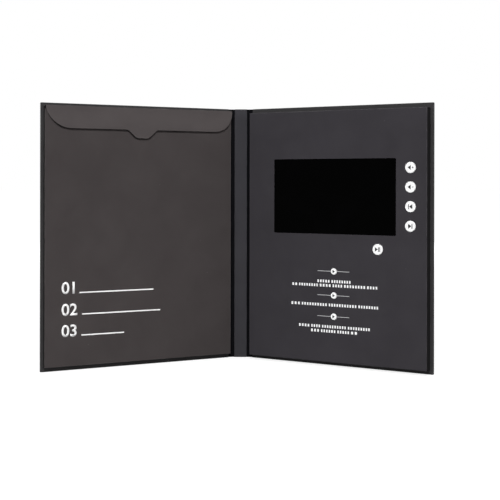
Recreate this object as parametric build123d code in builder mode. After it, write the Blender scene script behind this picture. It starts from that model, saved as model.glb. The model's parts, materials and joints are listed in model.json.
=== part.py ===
from build123d import *
from math import cos, radians, sin
import os

# A hard-cover video brochure, standing open on its lower edges. Millimetres.
# +Z is up, the reader stands at -Y, and the origin is the middle of the footprint.
# On a cover, u runs from its hinge axis to the fore edge, v runs up from the tail,
# and height is measured from the cover's inner face towards the reader.

# ---- Window and controls, which set the size of the video block ----
window_width = 112.6
window_height = 63.4
window_corner_radius = 1.2
window_left_margin = 24.65  # block edge to window
window_head_margin = 40.7
window_tail_margin = 107.7
button_column_gap = 12.5  # window edge to the column of four buttons
button_edge_margin = 13.95  # column to block edge
button_count = 4  # in the column
button_pitch = 15.8
first_button_drop = 7.75  # window top to the highest button
play_button_drop = 11.45  # window bottom to the play button
play_button_inset = 15.8  # window edge to the play button
chapter_drop = 31.15  # window bottom to the first chapter button
chapter_pitch_upper = 20.3
chapter_pitch_lower = 17.7

# ---- Case: boards, wrap and grooved joints ----
cover_angle = 27.6  # each cover is turned in by this much from flat
closing_gap = 0.95  # left between the block and the pocket when closed
spine_gap = 3.9  # hinge axis to the spine board
board_thickness = 2.2
wrap_thickness = 0.3
wrap_chamfer = 0.35
turn_in = 15.0
board_gap = 2.4  # hinge axis to the cover board
joint_depth = 1.2  # inner face down to the bottom of the groove
hinge_clearance = 0.1
block_gap = 4.0  # hinge axis to the video block
fore_square = 2.3
head_square = 4.2
tail_square = 4.0

# ---- Video block ----
block_height = 8.8
block_edge_radius = 0.6
face_thickness = 0.8
skirt_thickness = 0.6
base_thickness = 0.5
pocket_clearance = 0.4

# ---- Screen ----
bezel_border = 4.0
bezel_height = 3.4
bezel_wall = 0.3
lens_thickness = 0.7
cell_thickness = 1.4
cell_clearance = 0.15
ribbon_thickness = 0.2
ribbon_overlap = 3.0
screen_ribbon_width = 30.0

# ---- Buttons and their circuit boards ----
button_diameter = 8.9
chapter_diameter = 5.2
button_proud = 0.5
button_travel = 0.5
button_hole_clearance = 0.3
button_chamfer = 0.2
flange_lip = 0.8
flange_thickness = 0.65
flange_gap = 0.05
switch_size = 4.5
chapter_switch_size = 3.6
switch_height = 1.5
plunger_size = 2.2
plunger_height = 0.5
plunger_gap = 0.2  # left between cap and plunger at the end of the travel
circuit_thickness = 1.0
key_ribbon_width = 5.0

# ---- Main circuit board ----
main_board_depth = 24.0
main_board_edge_gap = 0.6
chip_height = 1.2
processor_size = 12.0
memory_width = 12.0
memory_depth = 8.0
amplifier_size = 5.0
chip_spacing = 3.0
solder_margin = 2.2  # board edge to the magnetic switch, for the leads
ribbon_margin = 11.2  # board edge to the memory, for the button ribbon
capacitor_diameter = 3.0
capacitor_height = 1.6
capacitor_pitch = 4.0
capacitor_count = 2
capacitor_edge_gap = 1.5
reed_length = 6.0
reed_width = 2.5
reed_height = 1.5
usb_width = 7.6
usb_depth = 5.6
usb_height = 2.6
usb_wall = 0.3
usb_mouth_clearance = 0.3
usb_tongue_inset = 1.2  # shell side to the tongue
usb_tongue_thickness = 0.6
usb_tongue_drop = 0.6  # mouth to the tongue's tip
lead_row_pitch = 12.0  # between the two pairs of leads on the board

# ---- Battery, speaker and leads ----
battery_width = 50.0
battery_depth = 52.0
battery_thickness = 4.0
battery_lift = 0.3
battery_edge_radius = 1.2
lower_margin = 10.0  # block edge to battery and speaker
battery_gap = 5.0
speaker_length = 30.0
speaker_width = 20.0
speaker_depth = 4.8
speaker_corner_radius = 4.0
speaker_wall = 0.5
speaker_floor = 0.5
speaker_cone_thickness = 0.3
speaker_cone_drop = 0.8  # frame's front to the cone's surround
speaker_surround = 2.0
speaker_cone_rise = 0.5
speaker_cone_taper = 30.0  # degrees
speaker_magnet_length = 16.0
speaker_magnet_width = 10.0
speaker_magnet_height = 1.8
speaker_gap = 12.0
lead_diameter = 1.0
lead_sides = 6
lead_pitch = 1.6
lead_bend_radius = 3.0
speaker_lane = 8.0  # block edge to the speaker leads
battery_lane = 14.0
lead_slot_margin = 0.6
magnet_diameter = 10.0
magnet_thickness = 1.5
magnet_clearance = 0.1

# ---- Document pocket and its flap ----
pocket_gap = 2.45  # hinge axis to the pocket
pocket_fore_square = 2.1
pocket_tail_square = 4.1
pocket_head_square = 2.3
pocket_depth = 5.0
pocket_card = 0.4
pocket_front_card = 0.5
mouth_drop = 3.0  # pocket head to the front panel's top edge
flap_card = 0.4
flap_length = 18.5
flap_gap = 1.7
flap_outer_radius = 22.0
flap_inner_radius = 16.7
flap_lift = 0.15
fold_clearance = 0.05
tab_centre = 85.0
tab_root_width = 25.5
tab_tip_width = 11.0
tab_length = 7.0
tab_root_radius = 4.0
tab_tip_radius = 5.0

# ---- Sizes that follow from these ----
cover_thickness = board_thickness + 2 * wrap_thickness
flap_front = pocket_depth + flap_lift + flap_card
closed_gap = block_height + button_proud + flap_front + closing_gap
hinge_spacing = closed_gap + 2 * joint_depth
spine_board_width = hinge_spacing - 2 * spine_gap
circuit_margin = button_diameter / 2 + flange_lip
block_left = block_gap
block_width = window_left_margin + window_width + button_column_gap + button_edge_margin
block_right = block_left + block_width
block_bottom = tail_square
block_top = block_bottom + window_tail_margin + window_height + window_head_margin
block_middle = (block_left + block_right) / 2
cover_width = block_right + fore_square
cover_height = block_top + head_square

window_left = block_left + window_left_margin
window_right = window_left + window_width
window_bottom = block_bottom + window_tail_margin
window_top = window_bottom + window_height

bezel_left = window_left - bezel_border
bezel_right = window_right + bezel_border
bezel_bottom = window_bottom - bezel_border
bezel_top = window_top + bezel_border

face_back = block_height - face_thickness
lens_back = face_back - lens_thickness
bezel_back = lens_back - bezel_height
flange_top = face_back - flange_gap
flange_bottom = flange_top - flange_thickness
switch_top = flange_bottom - button_travel - plunger_gap - plunger_height
switch_bottom = switch_top - switch_height
circuit_back = switch_bottom - circuit_thickness

column_u = window_right + button_column_gap
play_u = window_right - play_button_inset
play_v = window_bottom - play_button_drop
column_rows = [window_top - first_button_drop - row * button_pitch for row in range(button_count)]
chapter_v = window_bottom - chapter_drop
chapter_rows = [
    chapter_v,
    chapter_v - chapter_pitch_upper,
    chapter_v - chapter_pitch_upper - chapter_pitch_lower,
]

processor_right = block_middle - usb_width / 2 - chip_spacing
processor_left = processor_right - processor_size
memory_left = block_middle + usb_width / 2 + chip_spacing
reed_u = processor_left - chip_spacing - reed_length / 2
main_board_left = reed_u - reed_length / 2 - solder_margin
main_board_right = memory_left + memory_width + ribbon_margin
main_board_top = block_top - skirt_thickness - main_board_edge_gap
main_board_bottom = main_board_top - main_board_depth
main_board_v = (main_board_bottom + main_board_top) / 2
reed_v = main_board_v + reed_width

chapter_board_left = block_middle - circuit_margin
chapter_board_right = block_middle + circuit_margin
battery_left = chapter_board_right + battery_gap
battery_right = battery_left + battery_width
battery_bottom = block_bottom + lower_margin
battery_top = battery_bottom + battery_depth
battery_back = base_thickness + battery_lift
speaker_u = chapter_board_left - speaker_gap - speaker_length / 2
speaker_v = block_bottom + lower_margin + speaker_width / 2
speaker_back = face_back - speaker_depth

pocket_left = pocket_gap
pocket_right = cover_width - pocket_fore_square
pocket_bottom = pocket_tail_square
pocket_top = cover_height - pocket_head_square
pocket_front_back = pocket_depth - pocket_front_card
flap_fold_v = pocket_top - flap_card / 2
flap_fold_height = pocket_depth + flap_lift + flap_card / 2
strip_fold_height = pocket_card + flap_card / 2 + 2 * fold_clearance
flap_bottom = pocket_top - flap_length

# ---- Placing the three panels of the case ----
turned = radians(cover_angle)
half_spacing = hinge_spacing / 2
block_front_y = (
    joint_depth * (1 - cos(turned))
    - (block_right - block_edge_radius) * sin(turned)
    - (block_height - block_edge_radius) * cos(turned)
    - block_edge_radius
)
spine_face_y = -(cover_thickness + block_front_y) / 2
hinge_y = spine_face_y + joint_depth
leaf_x = half_spacing - joint_depth * sin(turned)
leaf_y = hinge_y - joint_depth * cos(turned)

back_leaf = Plane(
    origin=(leaf_x, leaf_y, 0),
    x_dir=(cos(turned), -sin(turned), 0),
    z_dir=(-sin(turned), -cos(turned), 0),
)
front_leaf = Plane(
    origin=(-leaf_x, leaf_y, 0),
    x_dir=(cos(turned), sin(turned), 0),
    z_dir=(sin(turned), -cos(turned), 0),
)
spine_leaf = Plane(origin=(0, spine_face_y, 0), x_dir=(1, 0, 0), z_dir=(0, -1, 0))
# The plans look down on a panel: x along it, y from its inner face to its outer face.
back_plan = Plane(origin=back_leaf.origin, x_dir=back_leaf.x_dir, z_dir=(0, 0, 1))
front_plan = Plane(origin=front_leaf.origin, x_dir=front_leaf.x_dir, z_dir=(0, 0, 1))
spine_plan = Plane(origin=spine_leaf.origin, x_dir=spine_leaf.x_dir, z_dir=(0, 0, 1))

back_normal = Axis(origin=(0, 0, 0), direction=back_leaf.z_dir)
front_normal = Axis(origin=(0, 0, 0), direction=front_leaf.z_dir)
front_along = Axis(origin=(0, 0, 0), direction=front_leaf.x_dir)

BACK = 1  # u runs along the back cover's +x
FRONT = -1  # and along the front cover's -x


def patch(side, near, far, low, high):
    """A rectangle from near to far of the hinge axis and from low to high."""
    with Locations((side * (near + far) / 2, (low + high) / 2)):
        Rectangle(far - near, high - low)


def block_patch(inset=0.0):
    """The block's outline, drawn in by inset."""
    patch(
        BACK,
        block_left + inset,
        block_right - inset,
        block_bottom + inset,
        block_top - inset,
    )


def screen_patch(inset=0.0):
    """The screen module's outline, drawn in by inset."""
    patch(
        BACK,
        bezel_left + inset,
        bezel_right - inset,
        bezel_bottom + inset,
        bezel_top - inset,
    )


def keep(piece, node):
    """Label a finished piece and write it out."""
    piece.part.label = node
    export_step(piece.part, f"parts/{node}.step")


# ---- Case: boards, wrap and liners ----
def liner_outline(side, far):
    """Section of an endpaper: along the groove, up the board's edge, over the board."""
    riser = board_gap - wrap_thickness
    bottom = joint_depth + wrap_thickness
    Polygon(
        (side * hinge_clearance, joint_depth),
        (side * riser, joint_depth),
        (side * riser, 0),
        (side * far, 0),
        (side * far, wrap_thickness),
        (side * board_gap, wrap_thickness),
        (side * board_gap, bottom),
        (side * hinge_clearance, bottom),
        align=None,
    )


def cover_case(side, leaf, plan, magnet_centre=None):
    """The board, wrap and endpaper of one cover."""
    inner_far = cover_width - wrap_thickness
    with BuildPart() as board:
        with BuildSketch(leaf.offset(wrap_thickness - cover_thickness)):
            patch(side, board_gap, inner_far, wrap_thickness, cover_height - wrap_thickness)
        extrude(amount=board_thickness)
        if magnet_centre:
            with BuildSketch(leaf.offset(-wrap_thickness)):
                with Locations(magnet_centre):
                    Circle(magnet_diameter / 2 + magnet_clearance)
            extrude(amount=-magnet_thickness, mode=Mode.SUBTRACT)

    with BuildPart() as wrap:
        with BuildSketch(leaf.offset(-cover_thickness)):
            patch(side, board_gap - wrap_thickness, cover_width, 0, cover_height)
        extrude(amount=cover_thickness)
        chamfer(wrap.edges(), wrap_chamfer)
        with BuildSketch(leaf.offset(-joint_depth - 2 * wrap_thickness)):
            patch(side, hinge_clearance, board_gap, 0, cover_height)
        extrude(amount=2 * wrap_thickness)
        with BuildSketch(leaf.offset(wrap_thickness - cover_thickness)):
            patch(side, board_gap, inner_far, wrap_thickness, cover_height - wrap_thickness)
        extrude(amount=board_thickness, mode=Mode.SUBTRACT)
        with BuildSketch(plan.offset(turn_in)):
            patch(side, 0, cover_width - turn_in, -cover_thickness, wrap_thickness)
            patch(side, 0, board_gap, -cover_thickness, joint_depth + wrap_thickness)
        extrude(amount=cover_height - 2 * turn_in, mode=Mode.SUBTRACT)

    with BuildPart() as endpaper:
        with BuildSketch(plan.offset(turn_in)):
            liner_outline(side, cover_width - turn_in)
        extrude(amount=cover_height - 2 * turn_in)
    return board, wrap, endpaper


magnet_place = (FRONT * reed_u, reed_v)
back_board, back_wrap, back_endpaper = cover_case(BACK, back_leaf, back_plan)
front_board, front_wrap, front_endpaper = cover_case(
    FRONT, front_leaf, front_plan, magnet_place
)
keep(back_board, "back_cover_board")
keep(back_wrap, "back_cover_wrap")
keep(back_endpaper, "back_endpaper")
keep(front_board, "front_cover_board")
keep(front_wrap, "front_cover_wrap")
keep(front_endpaper, "front_endpaper")

with BuildPart() as trigger_magnet:
    with BuildSketch(front_leaf.offset(-wrap_thickness - magnet_thickness)):
        with Locations(magnet_place):
            Circle(magnet_diameter / 2)
    extrude(amount=magnet_thickness)
keep(trigger_magnet, "trigger_magnet")

spine_web = 2 * (half_spacing - hinge_clearance)
spine_shell = spine_board_width + 2 * wrap_thickness

with BuildPart() as spine_board:
    with BuildSketch(spine_plan.offset(wrap_thickness)):
        with Locations((0, cover_thickness / 2)):
            Rectangle(spine_board_width, board_thickness)
    extrude(amount=cover_height - 2 * wrap_thickness)
keep(spine_board, "spine_board")

with BuildPart() as spine_wrap:
    with BuildSketch(spine_plan):
        with Locations((0, cover_thickness / 2)):
            Rectangle(spine_shell, cover_thickness)
    extrude(amount=cover_height)
    chamfer(spine_wrap.edges(), wrap_chamfer)
    with BuildSketch(spine_plan):
        with Locations((0, joint_depth + wrap_thickness)):
            Rectangle(spine_web, 2 * wrap_thickness)
    extrude(amount=cover_height)
    with BuildSketch(spine_plan.offset(wrap_thickness)):
        with Locations((0, cover_thickness / 2)):
            Rectangle(spine_board_width, board_thickness)
    extrude(amount=cover_height - 2 * wrap_thickness, mode=Mode.SUBTRACT)
    with BuildSketch(spine_plan.offset(turn_in)):
        Rectangle(spine_shell, 2 * wrap_thickness)
        for side in (BACK, FRONT):
            patch(side, spine_board_width / 2, half_spacing, -wrap_thickness, joint_depth + wrap_thickness)
    extrude(amount=cover_height - 2 * turn_in, mode=Mode.SUBTRACT)
keep(spine_wrap, "spine_wrap")

with BuildPart() as spine_liner:
    with BuildSketch(spine_plan.offset(turn_in)):
        with Locations((0, wrap_thickness / 2)):
            Rectangle(spine_shell, wrap_thickness)
        for side in (BACK, FRONT):
            patch(side, spine_board_width / 2, spine_shell / 2, 0, joint_depth + wrap_thickness)
            patch(side, spine_board_width / 2, spine_web / 2, joint_depth, joint_depth + wrap_thickness)
    extrude(amount=cover_height - 2 * turn_in)
keep(spine_liner, "spine_liner")


# ---- Video block: face card, tray and base ----
button_places = [(column_u, row) for row in column_rows] + [(play_u, play_v)]
chapter_places = [(block_middle, row) for row in chapter_rows]
leg_bottom = play_v - circuit_margin
leg_top = play_v + circuit_margin
leg_left = play_u - circuit_margin
column_left = column_u - circuit_margin
column_right = column_u + circuit_margin
column_top = column_rows[0] + circuit_margin
chapter_board_bottom = chapter_rows[-1] - circuit_margin
chapter_board_top = chapter_rows[0] + circuit_margin
usb_top = block_top - face_thickness / 2
usb_bottom = usb_top - usb_depth
circuit_front = circuit_back + circuit_thickness

with BuildPart() as face_card:
    with BuildSketch(back_leaf.offset(base_thickness)):
        block_patch()
    extrude(amount=block_height - base_thickness)
    fillet(face_card.faces().sort_by(back_normal)[-1].edges(), block_edge_radius)
    with BuildSketch(back_leaf.offset(base_thickness)):
        block_patch(skirt_thickness)
    extrude(amount=face_back - base_thickness, mode=Mode.SUBTRACT)
    with BuildSketch(back_leaf.offset(face_back)):
        with Locations(((window_left + window_right) / 2, (window_bottom + window_top) / 2)):
            RectangleRounded(window_width, window_height, window_corner_radius)
        with Locations(*button_places):
            Circle(button_diameter / 2 + button_hole_clearance)
        with Locations(*chapter_places):
            Circle(chapter_diameter / 2 + button_hole_clearance)
    extrude(amount=face_thickness, mode=Mode.SUBTRACT)
    with BuildSketch(back_leaf.offset(circuit_front - usb_mouth_clearance)):
        patch(
            BACK,
            block_middle - usb_width / 2 - usb_mouth_clearance,
            block_middle + usb_width / 2 + usb_mouth_clearance,
            block_top - 2 * skirt_thickness,
            block_top + skirt_thickness,
        )
    extrude(amount=usb_height + 2 * usb_mouth_clearance, mode=Mode.SUBTRACT)
keep(face_card, "face_card")

with BuildPart() as block_base:
    with BuildSketch(back_leaf):
        block_patch()
    extrude(amount=base_thickness)
keep(block_base, "block_base")


tray_pockets = []


def tray_pocket(near, far, low, high, floor):
    """Note a pocket of the tray, open to the face card, around a piece on that floor."""
    tray_pockets.append((near, far, low, high, floor))


# ---- Screen ----
with BuildPart() as screen_lens:
    with BuildSketch(back_leaf.offset(lens_back)):
        screen_patch()
    extrude(amount=lens_thickness)
keep(screen_lens, "screen_lens")
tray_pocket(bezel_left, bezel_right, bezel_bottom, bezel_top, bezel_back)

with BuildPart() as screen_bezel:
    with BuildSketch(back_leaf.offset(bezel_back)):
        screen_patch()
    extrude(amount=bezel_height)
    with BuildSketch(back_leaf.offset(bezel_back)):
        screen_patch(bezel_wall)
    extrude(amount=bezel_height - bezel_wall, mode=Mode.SUBTRACT)
    with BuildSketch(back_leaf.offset(bezel_back)):
        patch(BACK, window_left, window_right, window_bottom, window_top)
    extrude(amount=bezel_height, mode=Mode.SUBTRACT)
keep(screen_bezel, "screen_bezel")

cell_front = lens_back - bezel_wall
cell_back = cell_front - cell_thickness
cell_inset = bezel_wall + cell_clearance
with BuildPart() as screen_cell:
    with BuildSketch(back_leaf.offset(cell_back)):
        screen_patch(cell_inset)
    extrude(amount=cell_thickness)
keep(screen_cell, "screen_cell")

with BuildPart() as backlight:
    with BuildSketch(back_leaf.offset(bezel_back)):
        screen_patch(cell_inset)
    extrude(amount=cell_back - bezel_back)
keep(backlight, "backlight")

with BuildPart() as screen_ribbon:
    with BuildSketch(back_leaf.offset(circuit_front)):
        patch(
            BACK,
            block_middle - screen_ribbon_width / 2,
            block_middle + screen_ribbon_width / 2,
            bezel_top,
            main_board_bottom + ribbon_overlap,
        )
    extrude(amount=ribbon_thickness)
keep(screen_ribbon, "screen_ribbon")
tray_pocket(
    block_middle - screen_ribbon_width / 2,
    block_middle + screen_ribbon_width / 2,
    bezel_top,
    main_board_bottom,
    circuit_front,
)

# ---- Main circuit board ----
with BuildPart() as main_board:
    with BuildSketch(back_leaf.offset(circuit_back)):
        patch(BACK, main_board_left, main_board_right, main_board_bottom, main_board_top)
    extrude(amount=circuit_thickness)
keep(main_board, "main_circuit_board")
tray_pocket(main_board_left, main_board_right, main_board_bottom, main_board_top, circuit_back)

with BuildPart() as processor_chip:
    with BuildSketch(back_leaf.offset(circuit_front)):
        patch(
            BACK,
            processor_left,
            processor_right,
            main_board_v - processor_size / 2,
            main_board_v + processor_size / 2,
        )
    extrude(amount=chip_height)
keep(processor_chip, "processor_chip")

with BuildPart() as memory_chip:
    with BuildSketch(back_leaf.offset(circuit_front)):
        patch(
            BACK,
            memory_left,
            memory_left + memory_width,
            main_board_top - chip_spacing - memory_depth,
            main_board_top - chip_spacing,
        )
    extrude(amount=chip_height)
keep(memory_chip, "memory_chip")

with BuildPart() as amplifier_chip:
    with BuildSketch(back_leaf.offset(circuit_front)):
        patch(
            BACK,
            memory_left,
            memory_left + amplifier_size,
            main_board_bottom + chip_spacing,
            main_board_bottom + chip_spacing + amplifier_size,
        )
    extrude(amount=chip_height)
keep(amplifier_chip, "amplifier_chip")

first_capacitor_u = processor_left - capacitor_edge_gap - capacitor_diameter / 2
capacitor_v = main_board_bottom + capacitor_edge_gap + capacitor_diameter / 2
capacitor_places = [
    (first_capacitor_u - place * capacitor_pitch, capacitor_v) for place in range(capacitor_count)
]
with BuildPart() as capacitors:
    with BuildSketch(back_leaf.offset(circuit_front)):
        with Locations(*capacitor_places):
            Circle(capacitor_diameter / 2)
    extrude(amount=capacitor_height)
keep(capacitors, "board_capacitors")

with BuildPart() as reed_switch:
    with BuildSketch(back_leaf.offset(circuit_front)):
        with Locations((reed_u, reed_v)):
            Rectangle(reed_length, reed_width)
    extrude(amount=reed_height)
keep(reed_switch, "magnetic_switch")

with BuildPart() as usb_socket:
    with BuildSketch(back_leaf.offset(circuit_front)):
        patch(
            BACK,
            block_middle - usb_width / 2,
            block_middle + usb_width / 2,
            usb_bottom,
            usb_top,
        )
    extrude(amount=usb_height)
    with BuildSketch(back_leaf.offset(circuit_front + usb_wall)):
        patch(
            BACK,
            block_middle - usb_width / 2 + usb_wall,
            block_middle + usb_width / 2 - usb_wall,
            usb_bottom + usb_wall,
            usb_top,
        )
    extrude(amount=usb_height - 2 * usb_wall, mode=Mode.SUBTRACT)
    with BuildSketch(back_leaf.offset(circuit_front + (usb_height - usb_tongue_thickness) / 2)):
        patch(
            BACK,
            block_middle - usb_width / 2 + usb_tongue_inset,
            block_middle + usb_width / 2 - usb_tongue_inset,
            usb_bottom,
            usb_top - usb_tongue_drop,
        )
    extrude(amount=usb_tongue_thickness)
keep(usb_socket, "usb_socket")

# ---- Battery ----
with BuildPart() as battery:
    with BuildSketch(back_leaf.offset(battery_back)):
        patch(BACK, battery_left, battery_right, battery_bottom, battery_top)
    extrude(amount=battery_thickness)
    fillet(battery.edges().filter_by(Axis.Z), battery_edge_radius)
keep(battery, "battery_cell")
tray_pocket(battery_left, battery_right, battery_bottom, battery_top, battery_back)

pad_back = battery_back + battery_thickness
with BuildPart() as battery_pad:
    with BuildSketch(back_leaf.offset(pad_back)):
        patch(BACK, battery_left, battery_right, battery_bottom, battery_top)
    extrude(amount=face_back - pad_back)
keep(battery_pad, "battery_pad")

# ---- Speaker: a tray-shaped frame, its magnet, and a cone across its mouth ----
speaker_front = speaker_back + speaker_depth
speaker_place = (speaker_u, speaker_v)
cone_back = speaker_front - speaker_cone_drop - speaker_cone_thickness
inside_length = speaker_length - 2 * speaker_wall
inside_width = speaker_width - 2 * speaker_wall
inside_radius = speaker_corner_radius - speaker_wall
dome_length = inside_length - 2 * speaker_surround
dome_width = inside_width - 2 * speaker_surround
dome_radius = inside_radius - speaker_surround / 2

with BuildPart() as speaker_frame:
    with BuildSketch(back_leaf.offset(speaker_back)):
        with Locations(speaker_place):
            RectangleRounded(speaker_length, speaker_width, speaker_corner_radius)
    extrude(amount=speaker_depth)
    with BuildSketch(back_leaf.offset(speaker_back + speaker_floor)):
        with Locations(speaker_place):
            RectangleRounded(inside_length, inside_width, inside_radius)
    extrude(amount=speaker_depth, mode=Mode.SUBTRACT)
keep(speaker_frame, "speaker_frame")
tray_pocket(
    speaker_u - speaker_length / 2,
    speaker_u + speaker_length / 2,
    speaker_v - speaker_width / 2,
    speaker_v + speaker_width / 2,
    speaker_back,
)

with BuildPart() as speaker_magnet:
    with BuildSketch(back_leaf.offset(speaker_back + speaker_floor)):
        with Locations(speaker_place):
            Rectangle(speaker_magnet_length, speaker_magnet_width)
    extrude(amount=speaker_magnet_height)
keep(speaker_magnet, "speaker_magnet")

with BuildPart() as speaker_cone:
    with BuildSketch(back_leaf.offset(cone_back)):
        with Locations(speaker_place):
            RectangleRounded(inside_length, inside_width, inside_radius)
    extrude(amount=speaker_cone_thickness)
    with BuildSketch(back_leaf.offset(cone_back + speaker_cone_thickness)):
        with Locations(speaker_place):
            RectangleRounded(dome_length, dome_width, dome_radius)
    extrude(amount=speaker_cone_rise, taper=speaker_cone_taper)
keep(speaker_cone, "speaker_cone")

# ---- Leads: pairs that run round the tray's left side to the main board ----
board_lead_height = circuit_front + lead_diameter / 2
speaker_lead_height = face_back - lead_diameter
battery_lead_height = battery_back + battery_thickness / 2
speaker_lane_u = block_left + speaker_lane
battery_lane_u = block_left + battery_lane
speaker_lead_v = main_board_v + lead_row_pitch / 2
battery_lead_v = main_board_v - lead_row_pitch / 2
battery_turn_v = (chapter_board_top + bezel_bottom) / 2
battery_start_u = battery_left + lead_bend_radius
lead_end_u = main_board_left + ribbon_overlap


def lead_pair(points_for):
    """Two round leads side by side; points_for gives a lead's corners for its shift."""
    with BuildPart() as pair:
        for shift in (-lead_pitch / 2, lead_pitch / 2):
            with BuildLine(back_leaf) as route:
                FilletPolyline(*points_for(shift), radius=lead_bend_radius)
            with BuildSketch(Plane(origin=route.line @ 0, z_dir=route.line % 0)) as section:
                RegularPolygon(lead_diameter / 2, lead_sides)
            sweep(sections=section.sketch, path=route.line)
    return pair


def speaker_corners(shift):
    return [
        (speaker_u - speaker_length / 2, speaker_v + shift, speaker_lead_height),
        (speaker_lane_u + shift, speaker_v + shift, speaker_lead_height),
        (speaker_lane_u + shift, speaker_lead_v - shift, board_lead_height),
        (lead_end_u, speaker_lead_v - shift, board_lead_height),
    ]


def battery_corners(shift):
    return [
        (battery_start_u + shift, battery_top, battery_lead_height),
        (battery_start_u + shift, battery_turn_v + shift, battery_lead_height),
        (battery_lane_u + shift, battery_turn_v + shift, battery_lead_height),
        (battery_lane_u + shift, battery_lead_v - shift, board_lead_height),
        (lead_end_u, battery_lead_v - shift, board_lead_height),
    ]


keep(lead_pair(speaker_corners), "speaker_leads")
keep(lead_pair(battery_corners), "battery_leads")

lead_reach = (lead_pitch + lead_diameter) / 2 + lead_slot_margin
speaker_lead_floor = board_lead_height - lead_diameter / 2
battery_lead_floor = battery_lead_height - lead_diameter / 2
for lane, low, top, floor in (
    (speaker_lane_u, speaker_v, speaker_lead_v, speaker_lead_floor),
    (battery_lane_u, battery_turn_v, battery_lead_v, battery_lead_floor),
):
    tray_pocket(lane - lead_reach, lane + lead_reach, low - lead_reach, top + lead_reach, floor)
    tray_pocket(lane, main_board_left, top - lead_reach, top + lead_reach, floor)
tray_pocket(
    speaker_lane_u,
    speaker_u,
    speaker_v - lead_reach,
    speaker_v + lead_reach,
    speaker_lead_floor,
)
tray_pocket(
    battery_lane_u,
    battery_start_u + lead_reach,
    battery_turn_v - lead_reach,
    battery_turn_v + lead_reach,
    battery_lead_floor,
)
tray_pocket(
    battery_start_u - lead_reach,
    battery_start_u + lead_reach,
    battery_top,
    battery_turn_v,
    battery_lead_floor,
)

# ---- Button circuit boards and their ribbons ----
with BuildPart() as key_board:
    with BuildSketch(back_leaf.offset(circuit_back)):
        patch(BACK, column_left, column_right, leg_bottom, column_top)
        patch(BACK, leg_left, column_right, leg_bottom, leg_top)
    extrude(amount=circuit_thickness)
keep(key_board, "key_circuit_board")
tray_pocket(column_left, column_right, leg_bottom, column_top, circuit_back)
tray_pocket(leg_left, column_right, leg_bottom, leg_top, circuit_back)

with BuildPart() as chapter_board:
    with BuildSketch(back_leaf.offset(circuit_back)):
        patch(
            BACK,
            chapter_board_left,
            chapter_board_right,
            chapter_board_bottom,
            chapter_board_top,
        )
    extrude(amount=circuit_thickness)
keep(chapter_board, "chapter_circuit_board")
tray_pocket(
    chapter_board_left, chapter_board_right, chapter_board_bottom, chapter_board_top, circuit_back
)

half_ribbon = key_ribbon_width / 2
key_ribbon_runs = (
    (
        column_u - half_ribbon,
        column_u + half_ribbon,
        column_top - ribbon_overlap,
        main_board_v + half_ribbon,
    ),
    (
        main_board_right - ribbon_overlap,
        column_u + half_ribbon,
        main_board_v - half_ribbon,
        main_board_v + half_ribbon,
    ),
)
chapter_ribbon_runs = (
    (
        block_middle - half_ribbon,
        block_middle + half_ribbon,
        chapter_board_top - ribbon_overlap,
        play_v + half_ribbon,
    ),
    (
        block_middle - half_ribbon,
        leg_left + ribbon_overlap,
        play_v - half_ribbon,
        play_v + half_ribbon,
    ),
)


def ribbon(runs):
    """A flat ribbon cable of straight runs, lying on the circuit boards it joins."""
    with BuildPart() as cable:
        with BuildSketch(back_leaf.offset(circuit_front)):
            for run in runs:
                patch(BACK, *run)
        extrude(amount=ribbon_thickness)
    for run in runs:
        tray_pocket(*run, circuit_front)
    return cable


keep(ribbon(key_ribbon_runs), "key_ribbon")
keep(ribbon(chapter_ribbon_runs), "chapter_ribbon")


# ---- Buttons: a cap with its flange, over a switch with its plunger ----
def switches(places, size):
    """A group of push switches, one under each button."""
    with BuildPart() as group:
        with BuildSketch(back_leaf.offset(switch_bottom)):
            with Locations(*places):
                Rectangle(size, size)
        extrude(amount=switch_height)
        with BuildSketch(back_leaf.offset(switch_top)):
            with Locations(*places):
                Rectangle(plunger_size, plunger_size)
        extrude(amount=plunger_height)
    return group


def button(place, diameter):
    """One button: the cap passes the face card and its flange stays behind the card."""
    with BuildPart() as cap:
        with BuildSketch(back_leaf.offset(flange_bottom)):
            with Locations(place):
                Circle(diameter / 2 + flange_lip)
        extrude(amount=flange_thickness)
        with BuildSketch(back_leaf.offset(flange_top)):
            with Locations(place):
                Circle(diameter / 2)
        extrude(amount=block_height + button_proud - flange_top)
        chamfer(cap.faces().sort_by(back_normal)[-1].edges(), button_chamfer)
    return cap


keep(switches(button_places, switch_size), "key_switches")
keep(switches(chapter_places, chapter_switch_size), "chapter_switches")

button_nodes = (
    "volume_up_button",
    "volume_down_button",
    "previous_button",
    "next_button",
    "play_pause_button",
)
for node, place in zip(button_nodes, button_places):
    keep(button(place, button_diameter), node)
for number, place in enumerate(chapter_places, start=1):
    keep(button(place, chapter_diameter), f"chapter_button_{number}")

# ---- Tray: the card filler that holds everything in the block ----
with BuildPart() as tray:
    with BuildSketch(back_leaf.offset(base_thickness)):
        block_patch(skirt_thickness)
    extrude(amount=face_back - base_thickness)
    for near, far, low, high, floor in tray_pockets:
        with BuildSketch(back_leaf.offset(floor)):
            patch(
                BACK,
                near - pocket_clearance,
                far + pocket_clearance,
                low - pocket_clearance,
                high + pocket_clearance,
            )
        extrude(amount=face_back - floor, mode=Mode.SUBTRACT)
    with BuildSketch(back_leaf.offset(circuit_back)):
        patch(
            BACK,
            block_middle - usb_width / 2 - pocket_clearance,
            block_middle + usb_width / 2 + pocket_clearance,
            usb_bottom,
            block_top,
        )
    extrude(amount=face_back - circuit_back, mode=Mode.SUBTRACT)
keep(tray, "filler_tray")

# ---- Document pocket on the front cover ----
gusset_top = pocket_top - flap_card - fold_clearance
with BuildPart() as pocket_back:
    with BuildSketch(front_leaf):
        patch(FRONT, pocket_left, pocket_right, pocket_bottom, pocket_top)
    extrude(amount=pocket_card)
keep(pocket_back, "pocket_back_panel")

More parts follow.
